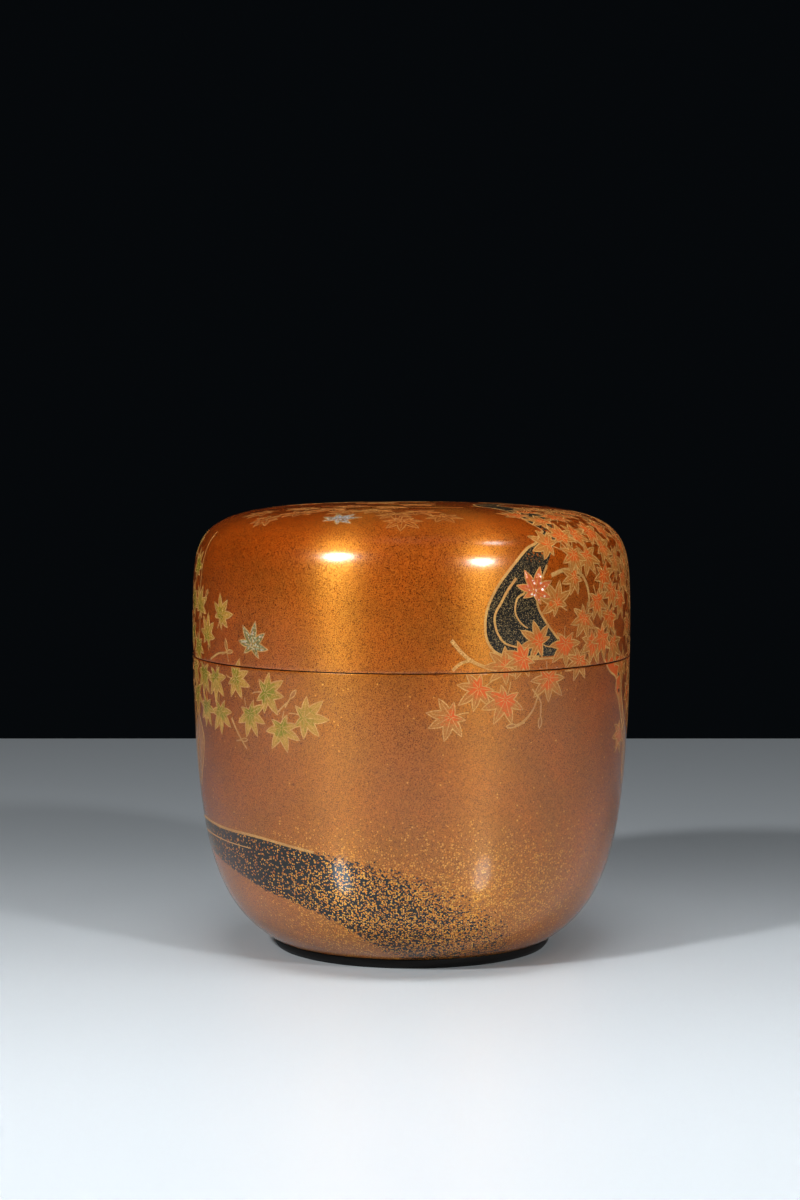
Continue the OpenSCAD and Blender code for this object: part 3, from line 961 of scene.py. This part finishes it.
def bough(picture, left, right):
    """A bough between two gold edges, each a list of (degrees, arc mm), brightest at the seam."""
    sides = [smooth_places(side, 0.5 * MM) for side in (left, right)]
    filled(picture, disk(sides[0] + sides[1][::-1]), from_disk, TRUNK_LIFT, 0.6 * MM, below_seam)
    for side in (left, right):
        stroke(side, 0.34, 0.22, lift=TRUNK_LIFT)


# Twigs, each its places, its width in mm and, where it tapers, its width at the end
TWIGS = [
    ([(9.5, 45.8), (12, 47.5), (14.5, 48.7), (17, 49.4), (20, 50)], 0.55, 0.45),
    ([(9.8, 50), (12, 49), (15, 48.6)], 0.45, 0.4),
    ([(31, 53), (33.5, 54.8), (33.8, 56.5)], 0.22),
    ([(24, 58.2), (27.5, 57.9), (31, 56.2), (32.8, 54)], 0.5, 0.2),
    ([(-36, 56.8), (-33.8, 55.6), (-32, 54.8)], 0.3, 0.2),
    ([(-63, 50), (-58.5, 49), (-54.2, 48.6)], 0.35, 0.25),
    ([(-52.4, 58), (-50, 60), (-46.5, 62.2)], 0.4, 0.25),
    ([(-70, 31), (-70.5, 38), (-71, 45), (-72, 50)], 0.28, 0.2),
    ([(-82, 57), (-77.5, 61), (-79, 66), (-78.5, 69)], 0.25, 0.2),
    ([(41.5, 31.5), (44, 33.5), (46.5, 36.6)], 0.22),
    ([(46, 30.5), (51, 33.4), (49, 35.8)], 0.22),
    ([(-62, 15), (-45, 12.5), (-20, 12), (5, 13.2), (30, 15)], 0.5, 0.3),
    ([(-58, 21), (-40, 16), (-28, 13)], 0.35, 0.25),
    ([(-30, 23), (-18, 17), (-10, 12.8)], 0.3, 0.2),
]
BUDS = [
    (33.6, 57, 1.7, 185), (26.5, 58, 1.6, 265), (-31.6, 54.4, 1.7, 40), (-54, 48.4, 1.8, 350),
    (-54, 48.6, 1.6, 80), (-48.4, 61, 1.4, 85), (-66, 41, 1.5, 40),
]


def paint_twigs():
    bough(
        red_leaves,
        [(58, 49.8), (61, 51.6), (65.4, 52.8), (65.6, 54.6), (68, 56.4), (71.5, 60), (74.5, 64.5),
         (77, 69.5)],
        [(72, 49.8), (70, 52), (70.2, 55), (73, 58), (77, 62), (80, 66.5), (79, 69.5)])
    for turn, arc in ((67.4, 52.2), (67.8, 54.6)):  # knots
        stroke([(turn, arc), (turn + 0.4, arc + 0.5)], 0.5, 0.35, FIRST_LIFT + LEVEL_STEP, trunk)
    bough(
        gold_leaves, [(-92, 54), (-88, 58), (-85, 64), (-80, 69.5)],
        [(-82, 54), (-75, 58), (-70, 61.5), (-71, 64.5), (-77, 69.5)])
    for places, *widths in TWIGS:
        stroke(places, *widths)
    for place in BUDS:
        bud(*place)


# Gold lines on the black band, each its places and its widths in mm at the start and at the end
BAND_LINES = [
    ([(-150, 72), (-120, 73.5), (-100, 75.2), (-78, 74.5), (-61, 74.8), (-46, 75), (-35, 75.7),
      (-26.6, 76.4)], 0.42, 0.4),
    ([(-104, 77.2), (-90, 76.9), (-76, 76.5), (-59.5, 76.8), (-48.5, 77)], 0.32, 0.15),
    ([(150, 86), (162, 79), (175, 75), (190, 73), (210, 72)], 0.2, 0.42),
    ([(186, 78), (204, 76), (222, 77), (240, 77.5)], 0.15, 0.3),
]

# Sprays on the right side, the back and the left side, in keeping with the front, each its leaves,
# the places of its twig, the number of leaves, a seed and the way the leaves hang
SPRAYS = [
    (red_leaves, [(78, 22), (92, 30), (98, 38), (104, 46)], 9, 3, 190),
    (red_leaves, [(70, 27), (84, 36), (88, 44), (86, 50)], 8, 5, 170),
    (red_leaves, [(122, 44), (114, 48), (104, 53), (96, 59)], 8, 8, 230),
    (red_leaves, [(90, 46), (84, 52), (80, 57), (72, 61)], 6, 9, 200),
    (red_leaves, [(150, 60), (160, 57), (172, 58), (184, 62)], 7, 12, 160),
    (green_leaves, [(146, 44), (160, 40), (174, 40), (186, 44)], 8, 14, 150),
    (green_leaves, [(-110, 36), (-102, 42), (-98, 48), (-92, 55)], 8, 17, 160),
    (green_leaves, [(-140, 46), (-130, 52), (-118, 56), (-106, 58)], 8, 18, 150),
    (green_leaves, [(-172, 28), (-160, 33), (-150, 39), (-142, 45)], 8, 21, 160),
    (None, [(120, 20), (150, 17), (180, 19), (200, 24)], 9, 23, 150),
    (None, [(60, 4), (-150, 6), (-120, 13), (-105, 22)], 8, 27, 200),
]


# Shell leaves in place of the frame's three, each its name, degrees, arc mm, size mm, spin, the colour
# under the chips, how much they cover, and their dull and pale colours
SHELL_LEAVES = [
    ("left", -43.7, 47.3, 3.6, 8, (0.17, 0.13, 0.03), 0.66, (0.17, 0.16, 0.05), (0.56, 0.50, 0.28)),
    ("right", 31.6, 39.3, 3.8, 20, (0.58, 0.10, 0.015), 0.17, (0.60, 0.20, 0.08), (0.85, 0.82, 0.80)),
    ("top", -24, 26.1, 3.5, 25, (0.20, 0.12, 0.07), 0.72, (0.30, 0.36, 0.44), (0.62, 0.68, 0.72)),
]


def set_shell_leaves():
    """The leaves of shell, on top of everything round them."""
    for side, around, arc, size, spin, *finish in SHELL_LEAVES:
        picture = Picture("shell_leaf_" + side, shell_material("shell_" + side, *finish), "shell_inlay")
        leaf(picture, around, arc, size, spin, line=0.16, lift=FIRST_LIFT + 5 * LEVEL_STEP, stem=0)
        picture.make("lid", True, "lid_shell_leaf_" + side + "_inlay", "lid_shell_leaf_" + side)


set_shell_leaves()
paint_trunk()
paint_leaves()
paint_twigs()
for places, width, end_width in BAND_LINES:
    stroke(places, width, end_width, 0)
for twig in SPRAYS:
    spray(*twig)
for picture in (lines, trunk, red_leaves, green_leaves, gold_leaves):
    picture.finish()


# ---- Stage, light and camera ----
def add_camera():
    camera = new_object("camera", bpy.data.cameras.new("camera"))
    camera.location = (-1.7 * MM, -397 * MM, 79.5 * MM)
    camera.rotation_euler = (math.radians(90 - 3.95), 0, 0)
    camera.data.lens = 79
    camera.data.sensor_width = 36
    camera.data.clip_start = 0.01
    bpy.context.scene.camera = camera


def direction(around, elevation):
    """At an angle from the front towards +X and an angle upwards, in degrees."""
    a, e = math.radians(around), math.radians(elevation)
    return Vector((math.sin(a) * math.cos(e), -math.cos(a) * math.cos(e), math.sin(e)))


def add_area(name, around, elevation, distance, width, height, watts, colour=(1, 1, 1), shape="ELLIPSE"):
    """A soft box that faces the middle of the caddy from a direction."""
    light = bpy.data.lights.new(name, "AREA")
    light.shape = shape
    light.size, light.size_y = width, height
    light.energy = watts
    light.color = colour
    lamp = new_object(name, light)
    out = direction(around, elevation)
    lamp.location = Vector((0, 0, TOP_Z / 2)) + out * distance
    lamp.rotation_euler = out.to_track_quat("Z", "Y").to_euler()
    lamp.visible_camera = False
    return lamp


def add_glint(name, around, arc, towards, elevation, watts):
    """A small lamp close to one place on the side, that shows only in the gloss there."""
    (spot,), _ = on_ground(np.array([math.radians(around)]), np.array([arc * MM]))
    lamp = add_area(name, towards, elevation, 1, 4 * MM, 8 * MM, watts, colour=(0.65, 0.85, 1.05))
    lamp.location = Vector(spot) + direction(towards, elevation) * 12 * MM
    lamp.visible_diffuse = False


def floor_material():
    s = Shade("pale_floor", roughness=0.32, specular_ior_level=0.3)
    s.colour(s.mix(s.noise(0.3), (0.55, 0.60, 0.64), (0.57, 0.62, 0.66)))
    return s.material


def add_floor():
    """A pale table top that ends a little way behind the caddy, as a slab with a rounded edge."""
    back, front, side, thick = 0.26, -0.34, 1.2, 0.02
    bm = bmesh.new()
    bmesh.ops.create_cube(bm, size=1)
    for v in bm.verts:
        v.co.x = math.copysign(side, v.co.x)
        v.co.y = back if v.co.y > 0 else front
        v.co.z = 0 if v.co.z > 0 else -thick
    bmesh.ops.bevel(bm, geom=list(bm.edges), offset=0.006, segments=5, profile=0.5, affect="EDGES")
    mesh = bpy.data.meshes.new("floor")
    bm.to_mesh(mesh)
    bm.free()
    mesh.shade_smooth()
    mesh.materials.append(floor_material())
    floor = new_object("floor", mesh)


def add_world():
    world = bpy.data.worlds.new("world")
    bpy.context.scene.world = world
    world.use_nodes = True
    world.node_tree.nodes["Background"].inputs["Color"].default_value = (0.0018, 0.0025, 0.0032, 1)


add_camera()
add_world()
add_floor()
LAMP_FAR, KEY_SIZE = 0.55, 0.05
for name, around, elevation, width, height, watts in (
        ("left", -42, 35, 0.12, 0.12, 2.1), ("right", 38, 28, 0.11, 0.09, 1.3)):
    add_area("softbox_" + name, around, elevation, LAMP_FAR, width, height, watts).visible_diffuse = False
    add_area("key_" + name, around, elevation, LAMP_FAR, KEY_SIZE, KEY_SIZE, watts).visible_glossy = False
add_area("softbox_high", 68, 59, LAMP_FAR, 0.07, 0.07, 0.2)
add_glint("glint_left", -20, 79.5, -42, -38, 0.0003)
add_glint("glint_right", 20, 79, 42, -38, 0.0002)
for name, around in (("back_left", -140), ("back_right", 145)):
    add_area(name, around, 40, 1.0, 0.6, 0.6, 0.4).visible_glossy = False
floor_wash = add_area("floor_wash", 0, 60, 0.6, 0.8, 0.1, 0.44, shape="RECTANGLE")
floor_wash.location = (0, -0.10, 0.5)
floor_wash.rotation_euler = (0, 0, 0)
floor_wash.data.spread = math.radians(42)
floor_wash.visible_glossy = False
bpy.context.scene.view_settings.view_transform = "Standard"
